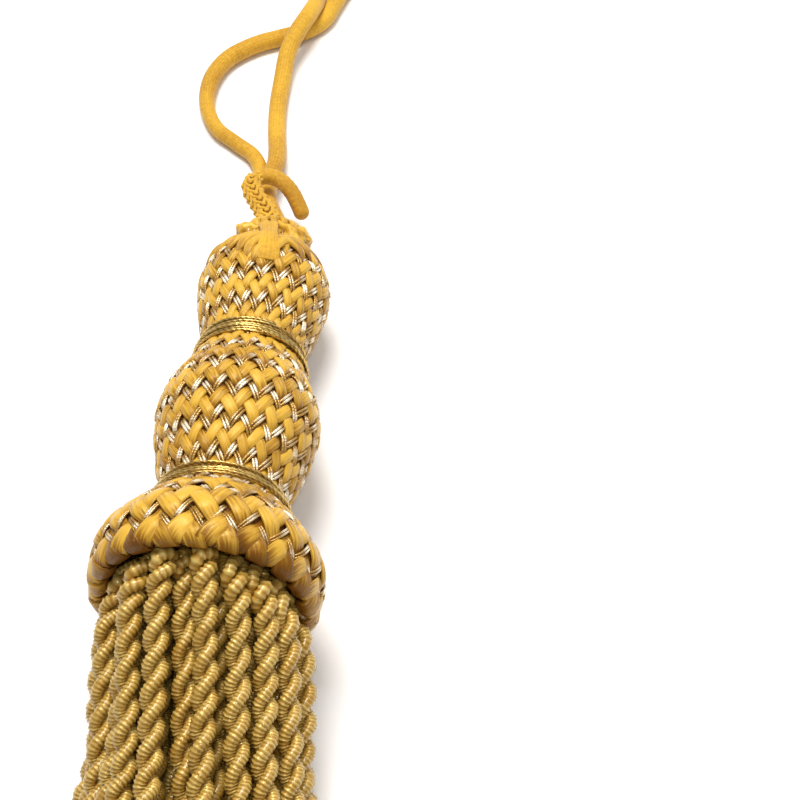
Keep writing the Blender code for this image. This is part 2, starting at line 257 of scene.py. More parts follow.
class Amount:
    """A number that changes over a surface: one socket, whose arithmetic adds Math nodes."""

    def __init__(self, paint, socket):
        self.paint = paint
        self.socket = socket

    def calculate(self, operation, *values):
        """One Math node on the given values."""
        return self.paint.node("ShaderNodeMath", {"operation": operation}, dict(enumerate(values)))

    def __add__(self, other):
        return self.calculate("ADD", self, other)

    def __mul__(self, other):
        return self.calculate("MULTIPLY", self, other)

    def __rsub__(self, other):
        return self.calculate("SUBTRACT", other, self)

    def __truediv__(self, other):
        return self.calculate("DIVIDE", self, other)

    __radd__ = __add__
    __rmul__ = __mul__

    def wave(self):
        """The sine of 2 pi times this number, brought to 0..1."""
        return 0.5 + 0.5 * self.calculate("SINE", self * (math.tau))

    def between(self, low, high):
        """0 below low, 1 above high and an even S curve between."""
        sockets = {"Value": self, "From Min": low, "From Max": high}
        return self.paint.node("ShaderNodeMapRange", {"interpolation_type": "SMOOTHSTEP"}, sockets)


class Paint:
    """A material while its nodes are laid down."""

    def __init__(self, name):
        self.material = bpy.data.materials.new(name)
        self.material.use_nodes = True
        self.tree = self.material.node_tree
        self.tree.nodes.clear()

    def node(self, kind, settings=None, sockets=None, output=0):
        """Add a node: its settings first, then the numbers or links of its sockets. Returns one output."""
        node = self.tree.nodes.new(kind)
        for name, value in (settings or {}).items():
            setattr(node, name, value)
        for name, value in (sockets or {}).items():
            if isinstance(value, Amount):
                self.tree.links.new(value.socket, node.inputs[name])
            else:
                node.inputs[name].default_value = value
        return Amount(self, node.outputs[output]) if node.outputs else None

    def mix(self, factor, low, high):
        """A colour that goes from low to high as the factor goes from 0 to 1."""
        high = high if isinstance(high, Amount) else (*high, 1.0)
        sockets = {0: factor, 6: (*low, 1.0), 7: high}
        return self.node("ShaderNodeMix", {"data_type": "RGBA"}, sockets, output=2)

    def along_and_round(self):
        """The piece's own map: millimetres along the strand, and 0..1 once round it."""
        place = self.node("ShaderNodeUVMap", {"uv_map": "strand"})
        return [self.node("ShaderNodeSeparateXYZ", None, {0: place}, output=axis) for axis in (0, 1)]

    def stored(self, name):
        """The number that each point of the mesh holds under a name."""
        return self.node("ShaderNodeAttribute", {"attribute_name": name}, output=2)

    def noise(self, vector, scale, detail=2.0, roughness=0.5):
        """Smooth noise, 0..1."""
        sockets = {"Vector": vector, "Scale": scale, "Detail": detail, "Roughness": roughness}
        return self.node("ShaderNodeTexNoise", None, sockets)

    def vector(self, x, y, z):
        """Three numbers as a vector."""
        return self.node("ShaderNodeCombineXYZ", None, {0: x, 1: y, 2: z})

    def place(self):
        """Object coordinates, in metres."""
        return self.node("ShaderNodeTexCoord", output=3)

    def bump(self, height, distance):
        """A bumped normal; distance is the real height in metres of the value 1."""
        return self.node("ShaderNodeBump", None, {"Height": height, "Distance": distance, "Strength": 1.0})

    def finish(self, **sockets):
        """The Principled shader with its sockets by name, and the material that it completes."""
        named = {name.replace("_", " "): value for name, value in sockets.items()}
        shader = self.node("ShaderNodeBsdfPrincipled", None, named)
        self.node("ShaderNodeOutputMaterial", None, {0: shader})
        return self.material


def ribbon_satin(settings):
    """Flat gold viscose ribbon: fine filaments along it, a little deeper in colour between them."""
    paint = Paint("ribbon_satin")
    along, rounds = paint.along_and_round()
    tone = paint.stored("tone")
    fibre = paint.noise(
        paint.vector(along * 0.3, rounds * 24.0, along * 0.02), scale=1.0, detail=3.0, roughness=0.6,
    )
    patch = paint.noise(paint.place(), scale=380.0, detail=1.0)
    # The tone carries painted light and shade: it lightens and darkens the ribbon, and where it is lowest the
    # colour falls to the painted shade colour under the braid
    shade = (fibre.between(0.35, 0.65) * 0.5 + patch * 0.25 + tone * 1.1).between(0.4, 1.5)
    lit = paint.mix(shade, settings.ribbon_deep, settings.ribbon_light)
    return paint.finish(
        Base_Color=paint.mix(tone.between(0.0, 0.4), settings.painted_shade_colour, lit),
        Roughness=0.42 - 0.14 * fibre,
        Normal=paint.bump(fibre, 0.12 * MM),
        Specular_IOR_Level=0.55,
        Specular_Tint=(1.0, 0.8, 0.45, 1.0),
    )


def bright_foil(settings):
    """Thread wound with pale foil: a metal with fine turns across it, with a painted highlight near each
    float's middle and painted shade where it dips under a strand.
    """
    paint = Paint("bright_foil")
    along, rounds = paint.along_and_round()
    turns = (along * 2.4 + rounds).wave()
    mottle = paint.noise(paint.place(), scale=800.0)
    # Painted glints and shade: the mottling noise sets spots of near-white foil against brown, the tone adds
    # the painted highlight on each float, and (0.44, 0.25, 0.06) is the painted shade
    shade = (turns * 0.15 + mottle * 0.5 + paint.stored("tone")).between(0.55, 1.25)
    return paint.finish(
        Base_Color=paint.mix(shade, (0.44, 0.25, 0.06), settings.thread_highlight_colour),
        Metallic=0.45,
        Roughness=0.22 + 0.2 * mottle,
        Normal=paint.bump(turns * 0.5 + mottle * 0.5, 0.05 * MM),
    )


def binding_metal(settings):
    """The bindings' thin old-gold metal thread, nearly smooth."""
    paint = Paint("binding_metal")
    along, rounds = paint.along_and_round()
    turns = (along * 1.1 + rounds * 2.0).wave()
    mottle = paint.noise(paint.vector(along * 0.8, rounds * 3.0, along * 0.1), scale=1.0, detail=3.0)
    deep = np.array(settings.colour) * (0.28, 0.22, 0.12)
    return paint.finish(
        Base_Color=paint.mix((turns * 0.25 + mottle).between(0.3, 0.85), deep, settings.colour),
        Metallic=0.8,
        Roughness=0.2 + 0.2 * mottle,
        Normal=paint.bump(turns * 0.4 + mottle * 0.6, 0.05 * MM),
    )


def fringe_gimp(settings, name, shaped):
    """Khaki gold thread wound round each ply: pale glossy ridges with deep lines between them.

    Shaped strands carry their ridges in their surface; on the shaded ones the ridges are a wave along them.
    """
    paint = Paint(name)
    along, rounds = paint.along_and_round()
    ridge = paint.stored("crest") if shaped else (along / (settings.ridge / MM)).wave()
    hair = paint.noise(paint.vector(along * 9.0, rounds * 5.0, along * 0.3), scale=1.0)
    patch = paint.noise(paint.place(), scale=300.0)
    # Painted light and shade: the ridge value lightens each ridge as a painted glint and darkens the lines
    # between ridges as painted shade
    shade = (ridge * 0.7 + hair * 0.4 + patch * 0.5).between(0.35, 1.2)
    # Painted shade: the strands underneath get half the crest colour, as they lie in shade
    crest = np.array(settings.crest_colour) * (1.0 if shaped else 0.5)
    return paint.finish(
        Base_Color=paint.mix(shade, settings.deep_colour, crest),
        Roughness=0.38 - 0.16 * hair,
        Metallic=0.12,
        Normal=paint.bump(ridge + hair * 0.35, 0.12 * MM),
        Specular_IOR_Level=0.7,
        Specular_Tint=(1.0, 0.88, 0.6, 1.0),
        Coat_Weight=0.6,
        Coat_Roughness=0.13,
        Coat_Tint=(1.0, 0.95, 0.8, 1.0),
    )


def knit_yarn(settings):
    """Matte golden yarn with fine twisted fibres."""
    paint = Paint("knit_yarn")
    fibre = paint.noise(paint.place(), scale=1500.0, detail=3.0, roughness=0.65)
    patch = paint.noise(paint.place(), scale=85.0)
    # Painted light and shade: the stitch value lightens raised yarn and darkens hollows and shaded parts; the
    # patches and fibres vary at random
    shade = (paint.stored("stitch") * 0.26 + fibre * 0.75 + patch * 1.1).between(0.55, 1.4)
    return paint.finish(
        Base_Color=paint.mix(shade, settings.deep_colour, settings.light_colour),
        Roughness=0.72 - 0.1 * fibre,
        Normal=paint.bump(fibre, 0.08 * MM),
        Specular_Tint=(1.0, 0.85, 0.55, 1.0),
        Sheen_Weight=0.15,
        Sheen_Roughness=0.5,
    )


def core_painted_shade(settings):
    """The wound core under the braid, coloured as painted shade: the dark gold that shows between the braid's
    strands.
    """
    paint = Paint("core_painted_shade")
    weave = paint.noise(paint.place(), scale=1500.0)
    deep = np.array(settings.painted_shade_colour)
    return paint.finish(
        Base_Color=paint.mix(weave, deep, 1.7 * deep),
        Roughness=0.8 + 0.1 * weave,
        Normal=paint.bump(weave, 0.1 * MM),
    )


def floor_paper(settings):
    """Plain pale floor."""
    paint = Paint("floor_paper")
    grain = paint.noise(paint.place(), scale=60.0)
    pale = np.array(settings.floor_colour)
    return paint.finish(
        Base_Color=paint.mix(grain, 0.99 * pale, pale), Roughness=0.9, Specular_IOR_Level=0.1,
    )


# Shapes

def travelled_along(points):
    """Distance travelled along a line of points at each of them."""
    return np.concatenate([[0.0], np.cumsum(np.linalg.norm(np.diff(points, axis=0), axis=1))])


def at_distances(wanted, travelled, rows):
    """Rows of numbers read off between the distances that they are given for."""
    columns = [np.interp(wanted, travelled, rows[:, axis]) for axis in range(rows.shape[1])]
    return np.stack(columns, axis=1)


def along_curve(points, step):
    """Points about one step apart on the smooth Catmull-Rom curve through the given points."""
    given = np.asarray(points, dtype=float)
    knots = np.vstack([2.0 * given[0] - given[1], given, 2.0 * given[-1] - given[-2]])
    part = np.linspace(0.0, 1.0, 24, endpoint=False)[None, :, None]
    a, b, c, d = (knots[first:first + len(given) - 1, None, :] for first in range(4))
    bend = (2.0 * a - 5.0 * b + 4.0 * c - d) * part ** 2 + (3.0 * (b - c) + d - a) * part ** 3
    fine = (0.5 * (2.0 * b + (c - a) * part + bend)).reshape(-1, given.shape[1])
    fine = np.vstack([fine, given[-1:]])
    travelled = travelled_along(fine)
    wanted = np.linspace(0.0, travelled[-1], max(2, round(travelled[-1] / step) + 1))
    return at_distances(wanted, travelled, fine)


def unit(vectors):
    """Vectors brought to length one."""
    return vectors / np.maximum(np.linalg.norm(vectors, axis=-1, keepdims=True), 1e-12)


def smoothstep(low, high, value):
    """0 below low, 1 above high, and an even S curve between."""
    part = np.clip((value - low) / (high - low), 0.0, 1.0)
    return part * part * (3.0 - 2.0 * part)


def bell(value, middle, width):
    """The exponential of minus the square of (value - middle) / width: 1 at the middle, 0 far from it."""
    return np.exp(-((value - middle) / width) ** 2)


def chance_of(first, second):
    """A number in 0..1 that looks random but always comes out the same for the same two numbers."""
    return np.mod(43.7585 * np.sin(12.9898 * first + 78.233 * second), 1.0)


def full_turn(count):
    """The angles of so many equal steps once round, the first at 0."""
    return np.arange(count) * math.tau / count


def rest_on_floor(points, softness):
    """Below one softness of height, z falls off as an exponential that never reaches the floor."""
    z = points[..., 2]
    low = softness * np.exp(np.minimum(z / softness - 1.0, 0.0))
    return np.concatenate([points[..., :2], np.where(z < softness, low, z)[..., None]], axis=-1)


def tangents(paths):
    """Unit direction of travel at each ring of each path."""
    return unit(np.gradient(paths, axis=1))


def sweep(paths, normals, high, wide, sides, power=1.0):
    """Rings of a profile carried along paths (paths, rings, 3).

    At angle a a ring's point is its centre plus wide * cos(a) sideways and high * sin(a) along the normal,
    each cosine and sine raised to a power that makes the section fuller or leaner.
    """
    forward = tangents(paths)
    sideways = unit(np.cross(forward, normals))
    upward = np.cross(sideways, forward)
    angle = full_turn(sides)
    across = np.sign(np.cos(angle)) * np.abs(np.cos(angle)) ** power
    up = np.sign(np.sin(angle)) * np.abs(np.sin(angle)) ** power
    out = (wide * across)[..., None] * sideways[:, :, None, :]
    return paths[:, :, None, :] + out + (high * up)[..., None] * upward[:, :, None, :]


def tube_mesh(name, rings, paths=None, closed=False):
    """A mesh of tubes from rings (paths, rings, sides, 3), capped at both ends unless closed on themselves.

    Its map "strand" holds millimetres along each tube and 0..1 round it.
    """
    count, length, sides, _ = rings.shape
    order = np.arange(count * length * sides).reshape(count, length, sides)
    centres = rings.mean(axis=2) if paths is None else paths
    if closed:
        centres = np.concatenate([centres, centres[:, :1]], axis=1)
    steps = np.linalg.norm(np.diff(centres, axis=1), axis=2)
    along = np.concatenate([np.zeros((count, 1)), np.cumsum(steps, axis=1)], axis=1) / MM

    # Corners of each face: this ring and the next, and this side and the next
    ring = np.arange(length if closed else length - 1)[:, None, None] + (0, 1, 1, 0)
    side = np.arange(sides)[None, :, None] + (0, 0, 1, 1)
    quads = order[:, ring % length, side % sides]
    flat = [np.broadcast_to(part, quads.shape) for part in (along[:, ring], side / sides)]
    map_values = np.stack(flat, axis=-1).reshape(-1, 2)
    loops = quads.ravel()
    starts = np.arange(0, len(loops), 4)
    if not closed:
        caps = np.concatenate([order[:, 0, :], order[:, -1, ::-1]], axis=0)
        ends = np.concatenate([along[:, 0], along[:, -1]])[:, None]
        cap_map = np.stack(np.broadcast_arrays(ends, np.arange(sides) / sides), axis=-1)
        starts = np.concatenate([starts, len(loops) + np.arange(len(caps)) * sides])
        loops = np.concatenate([loops, caps.ravel()])
        map_values = np.concatenate([map_values, cap_map.reshape(-1, 2)])
    mesh = bpy.data.meshes.new(name)
    mesh.vertices.add(count * length * sides)
    mesh.vertices.foreach_set("co", rings.astype(np.float32).ravel())
    mesh.loops.add(len(loops))
    mesh.loops.foreach_set("vertex_index", loops.astype(np.int32))
    mesh.polygons.add(len(starts))
    mesh.polygons.foreach_set("loop_start", starts.astype(np.int32))
    mesh.update(calc_edges=True)
    layer = mesh.uv_layers.new(name="strand")
    layer.data.foreach_set("uv", map_values.astype(np.float32).ravel())
    mesh.validate()
    mesh.shade_smooth()
    return mesh


def swept_mesh(name, paths, normals, high, wide, sides, softness, power=1.0):
    """A profile carried along paths and pressed flat where it meets the floor, as a mesh."""
    rings = sweep(paths, normals, high, wide, sides, power)
    return tube_mesh(name, rest_on_floor(rings, softness), paths)


def point_values(mesh, name, values, sides=1):
    """One number for each vertex, under a name that a material reads; each value serves so many sides."""
    layer = mesh.attributes.new(name, "FLOAT", "POINT")
    layer.data.foreach_set("value", np.repeat(np.asarray(values, dtype=np.float32).ravel(), sides))


def dress(name, mesh, material, slot, *nodes):
    """Put a finished mesh into the scene on the tassel's body, standing for the named nodes."""
    piece = bpy.data.objects.new(name, mesh)
    mesh.materials.append(material)
    bpy.context.scene.collection.objects.link(piece)
    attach(piece, "root")
    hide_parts(*nodes)
    return piece


def joined(name, meshes):
    """Several meshes as one."""
    parts = [bpy.data.objects.new(part.name, part) for part in meshes]
    for part in parts:
        bpy.context.scene.collection.objects.link(part)
    with bpy.context.temp_override(active_object=parts[0], selected_editable_objects=parts):
        bpy.ops.object.join()
    mesh = parts[0].data
    mesh.name = name
    bpy.data.objects.remove(parts[0])
    return mesh


def cover_profile():
    """(along, radius) of the sleeve each 0.1 mm from inside the mouth to inside the top hole, and how far
    each point is from the rim's edge along the sleeve, negative inside the mouth."""
    line = along_curve(np.array(MOUTH_TURN + HEAD_OUTLINE + TOP_TURN) * MM, 0.1 * MM)
    travelled = travelled_along(line)
    edge = np.argmin(np.linalg.norm(line - np.array(HEAD_OUTLINE[0]) * MM, axis=1))
    return line, travelled - travelled[edge]


def on_head(along, turn, radius):
    """Points of the head: along its tilted axis, turned from the top towards +X, and out by the radius."""
    x = radius * np.sin(turn)
    out = radius * np.cos(turn)
    y = along * math.cos(TILT) + out * math.sin(TILT)
    z = -along * math.sin(TILT) + out * math.cos(TILT) + AXIS_START
    return np.stack(np.broadcast_arrays(x, y, z), axis=-1) + RIM_CENTRE


def cover_point(distance, turn, height):
    """Point of the sleeve at a distance from the rim's edge, lifted by a height along the sleeve's normal,
    and that normal."""
    line, travelled = cover_profile()
    slope = unit(np.gradient(line, axis=0))
    along = np.interp(distance, travelled, line[:, 0])
    radius = np.interp(distance, travelled, line[:, 1])
    along_out = -np.interp(distance, travelled, slope[:, 1])
    radius_out = np.interp(distance, travelled, slope[:, 0])
    points = on_head(along + height * along_out, turn, radius + height * radius_out)
    inner = on_head(along, turn, radius)
    outer = on_head(along + MM * along_out, turn, radius + MM * radius_out)
    return points, unit(outer - inner)


def rim_roll(distance):
    """Height of the rolled edge over the sleeve: a bell of the distance, highest just inside the rim."""
    return 0.95 * MM * bell(distance, -0.5 * MM, 1.7 * MM)


def cover_radius(distance):
    """The sleeve's radius at distances from the rim's edge."""
    line, travelled = cover_profile()
    return np.interp(distance, travelled, line[:, 1])


def head_radius(along):
    """The head's radius at distances along its axis."""
    outline = along_curve(np.array(HEAD_OUTLINE) * MM, 0.2 * MM)
    return np.interp(along, outline[:, 0], outline[:, 1])


def gathered(turn, distance):
    """1 where the sleeve is drawn into pleats in front of the hook, 0 elsewhere."""
    front = smoothstep(math.cos(0.85), math.cos(0.6), np.cos(turn - 0.12))
    start = 62.0 * MM + 5.0 * MM * np.abs(np.sin(turn - 0.12))
    return front * smoothstep(start, start + 3.0 * MM, distance)


def cord_frame(path):
    """Normals of a lying cord: straight up, made square to its direction by the sweep."""
    return np.broadcast_to(np.array([0.0, 0.0, 1.0]), path.shape)


def rounded_ends(path, radius, reach):
    """Ring sizes along a path whose ends close as half an ellipse over the reach."""
    travelled = travelled_along(path)
    near = np.clip(travelled / reach, 0.0, 1.0)
    far = np.clip((travelled[-1] - travelled) / reach, 0.0, 1.0)
    close = np.minimum(near, far)
    return radius * np.sqrt(np.clip(1.0 - (1.0 - close) ** 2, 0.0, 1.0)) + 0.02 * MM


def round_cord(name, path, size):
    """A cord along a path, as a mesh, with a radius for each ring and side."""
    rings = (path[None], cord_frame(path[None]), size[None], size[None])
    return swept_mesh(name, *rings, size.shape[1], CORD_SOFTNESS)


def knit_height(along, wale, row_pitch):
    """Height of stockinette, 0..1: each wale is a column of V stitches whose legs rise between its edges."""
    offset = np.abs(2.0 * (wale - np.floor(wale)) - 1.0)
    leg = 0.5 + 0.5 * np.cos(math.tau * (along / row_pitch - 0.8 * offset))
    column = np.sin(math.pi * np.clip(offset, 0.02, 0.98)) ** 0.6
    return column * (0.35 + 0.65 * leg)


def pushed_apart(centres, half_width, rounds):
    """Strand centres moved apart to the pitch, inside the bundle's half width and off the floor."""
    moved = centres.copy()
    for _ in range(rounds):
        between = moved[:, None, :] - moved[None, :, :]
        apart = np.linalg.norm(between, axis=2)
        np.fill_diagonal(apart, 1.0)
        short = np.clip(STRAND_PITCH - apart, 0.0, None)
        moved += 0.5 * np.sum(between * (short / apart)[:, :, None], axis=1)
        moved[:, 0] = np.clip(moved[:, 0], -half_width, half_width)
        moved[:, 1] = np.maximum(moved[:, 1], 0.5 * STRAND_PITCH)
    return moved


def strand_centres():
    """Centres (x, z) of every strand at each millimetre from the mouth outward, as in the part.

    They are packed on a sunflower pattern, then sink and push each other aside until the lowest lie on the
    floor, and are smoothed along the strands.
    """
    packing_rounds, settling_rounds, smoothing_rounds = 80, 30, 6
    order = np.arange(STRANDS)
    radius = PACK_RADIUS * np.sqrt((order + 0.5) / STRANDS)
    turn = order * math.pi * (3.0 - math.sqrt(5.0))
    centres = np.stack([radius * np.cos(turn), radius * np.sin(turn)], axis=1)
    high_up = (0.0, 1.0)
    for _ in range(packing_rounds):
        centres = pushed_apart(centres + high_up, BUNDLE_HALF_WIDTH, 1) - high_up
        centres *= np.minimum(1.0, PACK_RADIUS / np.linalg.norm(centres, axis=1))[:, None]
    centres += (0.0, AXIS_START)
    rows = [centres]
    for station in range(round(FRINGE_LENGTH / STATION_STEP)):
        half_width = BUNDLE_HALF_WIDTH + BUNDLE_SPREAD * station * STATION_STEP
        centres = pushed_apart(centres - (0.0, SINK_RATE * STATION_STEP), half_width, settling_rounds)
        rows.append(centres)
    rows = np.array(rows)
    for _ in range(smoothing_rounds):
        rows[1:-1] = 0.25 * rows[:-2] + 0.5 * rows[1:-1] + 0.25 * rows[2:]
    return rows


def exposed_strands(rows):
    """Which strands have nothing lying on them or outside them at the mouth, half way or near their ends."""
    shown = np.zeros(STRANDS, dtype=bool)
    clear, near = 0.45 * STRAND_PITCH, 0.62 * STRAND_PITCH
    for station in (0, 12, 30, 50, 74):
        x, z = rows[station].T
        aside = x[None, :] - x[:, None]
        above = z[None, :] - z[:, None]
        level = np.abs(above) < near
        covered = (above > clear) & (np.abs(aside) < near)
        for hidden in (covered, level & (aside > clear), level & (-aside > clear)):
            shown |= ~np.any(hidden, axis=1)
    return shown


# Operators

class TASSEL_OT_stage(bpy.types.Operator):
    """Set up the camera, the soft lights and the pale floor"""

    bl_idname = "tassel.stage"
    bl_label = "Stage"

    def execute(self, context):
        settings = context.scene.tassel.stage
        camera = bpy.data.objects.new("camera", bpy.data.cameras.new("camera"))
        camera.location = settings.camera_place
        camera.rotation_euler = (0.5 * math.pi - settings.camera_pitch, 0.0, settings.camera_turn)
        camera.data.lens = settings.camera_lens
        camera.data.sensor_width = 36.0
        camera.data.clip_start = 0.01
        camera.data.clip_end = 10.0
        context.scene.collection.objects.link(camera)
        context.scene.camera = camera

        reach = 1.5
        lines = 7
        across, deep = np.meshgrid(np.linspace(-reach, reach, lines), np.linspace(-reach, reach, lines))
        points = np.stack([across, deep, np.zeros_like(across)], axis=-1).reshape(-1, 3)
        first = (np.arange(lines - 1)[:, None] * lines + np.arange(lines - 1)).ravel()
        faces = np.stack([first, first + 1, first + lines + 1, first + lines], axis=1)
        mesh = bpy.data.meshes.new("floor")
        mesh.from_pydata(points.tolist(), [], faces.tolist())
        mesh.materials.append(floor_paper(settings))
        floor = bpy.data.objects.new("floor", mesh)
        context.scene.collection.objects.link(floor)

        # Each lamp is a disk: its place, diameter, power and colour. All face the same spot on the head.
        warm, cool = (1.0, 0.98, 0.95), (0.93, 0.96, 1.0)
        lamps = (
            ("key_light", (-0.04, 0.15, 0.40), 0.22, settings.key_power, warm),
            ("flash", (0.05, -0.12, 0.28), 0.025, settings.flash_power, warm),
            ("fill_light", (0.25, 0.30, 0.35), 0.35, settings.fill_power, cool),
        )
        aim = np.array([0.0, 0.03, 0.01])
        for name, place, size, power, tint in lamps:
            lamp = bpy.data.lights.new(name, "AREA")
            lamp.shape = "DISK"
            lamp.size = size
            lamp.energy = power
            lamp.color = tint
            holder = bpy.data.objects.new(name, lamp)
            toward = np.array(place) - aim
            pitch = math.acos(toward[2] / np.linalg.norm(toward))
            holder.location = place
            holder.rotation_euler = (pitch, 0.0, math.atan2(toward[0], -toward[1]))
            context.scene.collection.objects.link(holder)
        world = bpy.data.worlds.new("studio")
        world.use_nodes = True
        background = world.node_tree.nodes["Background"].inputs
        background["Color"].default_value = (1.0, 1.0, 1.0, 1.0)
        background["Strength"].default_value = 0.3
        context.scene.world = world
        context.scene.view_settings.view_transform = "Standard"
        return {"FINISHED"}


class TASSEL_OT_tie_cord(bpy.types.Operator):
    """Knit the smooth tie cord along its route"""

    bl_idname = "tassel.tie_cord"
    bl_label = "Tie cord"

    def execute(self, context):
        settings = context.scene.tassel.cord
        step = 0.27 * MM
        sides = 40
        path = along_curve(np.array(TIE_ROUTE) * MM, step) + RIM_CENTRE
        along = np.arange(len(path))[:, None] * step
        wale = np.arange(sides)[None, :] * settings.wales / sides
        height = knit_height(along, wale, settings.row_pitch)

        # The second end is pulled thin where it comes back to the hook
        pull, pull_start, pull_full = 0.17, 0.84, 0.90
        drawn = 1.0 - pull * smoothstep(pull_start, pull_full, np.linspace(0.0, 1.0, len(path)))
        radius = 0.5 * CORD_DIAMETER - 0.06 * MM
        mean_height = 0.6
        size = (rounded_ends(path, radius, 1.4 * MM) * drawn)[:, None]
        size = size + settings.relief * (height - mean_height)
        mesh = round_cord("tie_cord", path, size)
        # Painted light and shade: the knit's height lightens each stitch's crest and darkens the hollows
        # between stitches
        point_values(mesh, "stitch", height)
        piece = dress("knitted_tie", mesh, knit_yarn(settings), "cord", "tie_cord")
        return {"FINISHED"}


class TASSEL_OT_hook_cord(bpy.types.Operator):
    """Knit the stretched hook from open loops of yarn over its own inner side"""

    bl_idname = "tassel.hook_cord"
    bl_label = "Hook cord"

    def execute(self, context):
        settings = context.scene.tassel.cord
        path = along_curve(np.array(HOOK_ROUTE) * MM, 0.1 * MM) + RIM_CENTRE
        travelled = travelled_along(path)
        full = 0.5 * CORD_DIAMETER - 0.4 * settings.yarn
        mesh = joined("hook_cord", [
            self.loops(settings, path, travelled, full), self.inner_side(settings, path, travelled, full),
        ])
        piece = dress("knitted_hook", mesh, knit_yarn(settings), "cord", "hook_cord")
        return {"FINISHED"}

    def root_swell(self, part):
        """The hook's root is 0.24 thicker, and the swelling fades over the first part of its length."""
        return 0.24 * (1.0 - smoothstep(0.1, 0.42, part))

    def loops(self, settings, path, travelled, full):
        """One yarn spirals round the front of the cord; each stitch goes up, over and down as a loop through
        the row below. Towards the free end it sinks under the smooth, tightly knitted tail.
        """
        forward = tangents(path[None])[0]
        sideways = unit(np.cross(forward, cord_frame(path)))
        upward = np.cross(sideways, forward)
        covered = 0.76
        rows = int(covered * travelled[-1] / settings.open_pitch)
        points_a_stitch = 18
        turn = np.arange(rows * settings.open_wales * points_a_stitch) / points_a_stitch
        swing = math.tau * turn
        around = math.tau * (turn - 0.16 * np.sin(2.0 * swing)) / settings.open_wales + 0.35
        place = settings.open_pitch * (0.75 + turn / settings.open_wales - 0.66 * np.cos(swing))
        part = place / travelled[-1]
        sink = 0.75 * MM * smoothstep(0.50, 0.74, part)
        out = full * (1.0 + self.root_swell(part)) - sink + 0.14 * MM * np.cos(2.0 * swing)
        centre, side, rise = (at_distances(place, travelled, line) for line in (path, sideways, upward))
        outward = np.cos(around)[:, None] * side + np.sin(around)[:, None] * rise
        yarn_path = (centre + out[:, None] * outward)[None]
        radius = np.full((1, len(place), 1), 0.5 * settings.yarn)
        mesh = swept_mesh("yarn", yarn_path, outward[None], radius, radius, 6, CORD_SOFTNESS)
        # Painted light: the open loops take the lit end of the yarn's colours, against the painted shade of
        # the inner cord
        point_values(mesh, "stitch", np.full(len(mesh.vertices), 1.1))
        return mesh

    def inner_side(self, settings, path, travelled, full):
        """A leaner cord inside the loops, which takes on the full size and fine stitches at the tail."""
        sides = 24
        forward = tangents(path[None])[0]
        beyond = 0.8 * MM * forward[[0, -1]] * ((-1.0,), (1.0,))
        longer = along_curve(np.vstack([path[0] + beyond[0], path, path[-1] + beyond[1]]), 0.25 * MM)
        part = np.linspace(0.0, 1.0, len(longer))
        tail = smoothstep(0.50, 0.70, part)[:, None]
        wale = np.arange(sides)[None, :] * settings.wales / sides
        stitch = knit_height(part[:, None] * travelled[-1], wale, settings.row_pitch)
        size = rounded_ends(longer, full - 0.42 * MM, 1.5 * MM)[:, None]
        size = size * (1.0 + 0.33 * tail + self.root_swell(part)[:, None]) + 0.14 * MM * (stitch - 0.5) * tail
        mesh = round_cord("inner", longer, size)
        # Painted shade: the inner cord is kept dark where it shows between the open loops; only the tail gets
        # its stitches' light and shade
        point_values(mesh, "stitch", (0.05 + 0.35 * stitch) * tail)
        return mesh


class TASSEL_OT_hook_root(bpy.types.Operator):
    """Spread the hook's flat ribbed root down the front of the top bulb"""

    bl_idname = "tassel.hook_root"
    bl_label = "Hook root"

    def execute(self, context):
        settings = context.scene.tassel.cord
        sides = 40
        # A radian of turn counts as 10 mm, about what it is on the surface, so that the steps come out even
        scale = np.array([MM, MM, 10.0 * MM])
        along, radius, turn = (along_curve(np.array(ROOT_ROUTE) * scale, 0.25 * MM) / (1.0, 1.0, scale[2])).T
        part = np.linspace(0.0, 1.0, len(along))
        centre = on_head(along, turn, radius)
        outward = unit(on_head(along + 0.3 * MM, turn, radius + 1.0 * MM) - centre)
        ribs = np.cos(math.tau * 3.5 * np.cos(full_turn(sides)))[None, :]
        wide = (1.65 - 0.3 * np.sin(math.pi * part) + 0.3 * part ** 2 + 0.06 * np.sin(9.0 * part)) * MM
        high = (0.30 + 0.28 * smoothstep(0.0, 0.12, part) - 0.28 * smoothstep(0.5, 1.0, part)) * MM
        thick = high[:, None] * (1.0 + 0.14 * ribs)
        surface = (centre[None], outward[None], thick[None], wide[None, :, None])
        mesh = swept_mesh("hook_root", *surface, sides, CORD_SOFTNESS, power=0.8)
        # Painted light and shade: lighter on the ribs' crests and darker between them, and darker towards the
        # lower end, where the root sinks into the braid
        point_values(mesh, "stitch", 0.75 + 0.35 * ribs - 0.5 * smoothstep(0.6, 0.95, part)[:, None])
        dress("knitted_root", mesh, knit_yarn(settings), "cord", "hook_cord")
        return {"FINISHED"}


class TASSEL_OT_core(bpy.types.Operator):
    """Lay the padded core and the lining of the mouth under the braid"""

    bl_idname = "tassel.core"
    bl_label = "Core"

    def execute(self, context):
        settings = context.scene.tassel.braid
        line, travelled = cover_profile()
        distance = np.linspace(travelled[0], travelled[-1], 150)
        turn = full_turn(72)
        points, _ = cover_point(distance[:, None], turn[None, :], -settings.seat - 0.4 * MM)
        in_mouth = on_head(line[0, 0], turn, 0.02 * MM)
        in_top = on_head(line[-1, 0], turn, 0.02 * MM)
        rings = np.concatenate([in_mouth[None], points, in_top[None]])[None]
        mesh = tube_mesh("core", rest_on_floor(rings[:, :, ::-1], CORE_SOFTNESS))
        # The core and the lining of the mouth are coloured as painted shade: they show only in the gaps
        # between strands and inside the mouth
        dress("padded_core", mesh, core_painted_shade(settings), "braid", "head_cover")
        return {"FINISHED"}


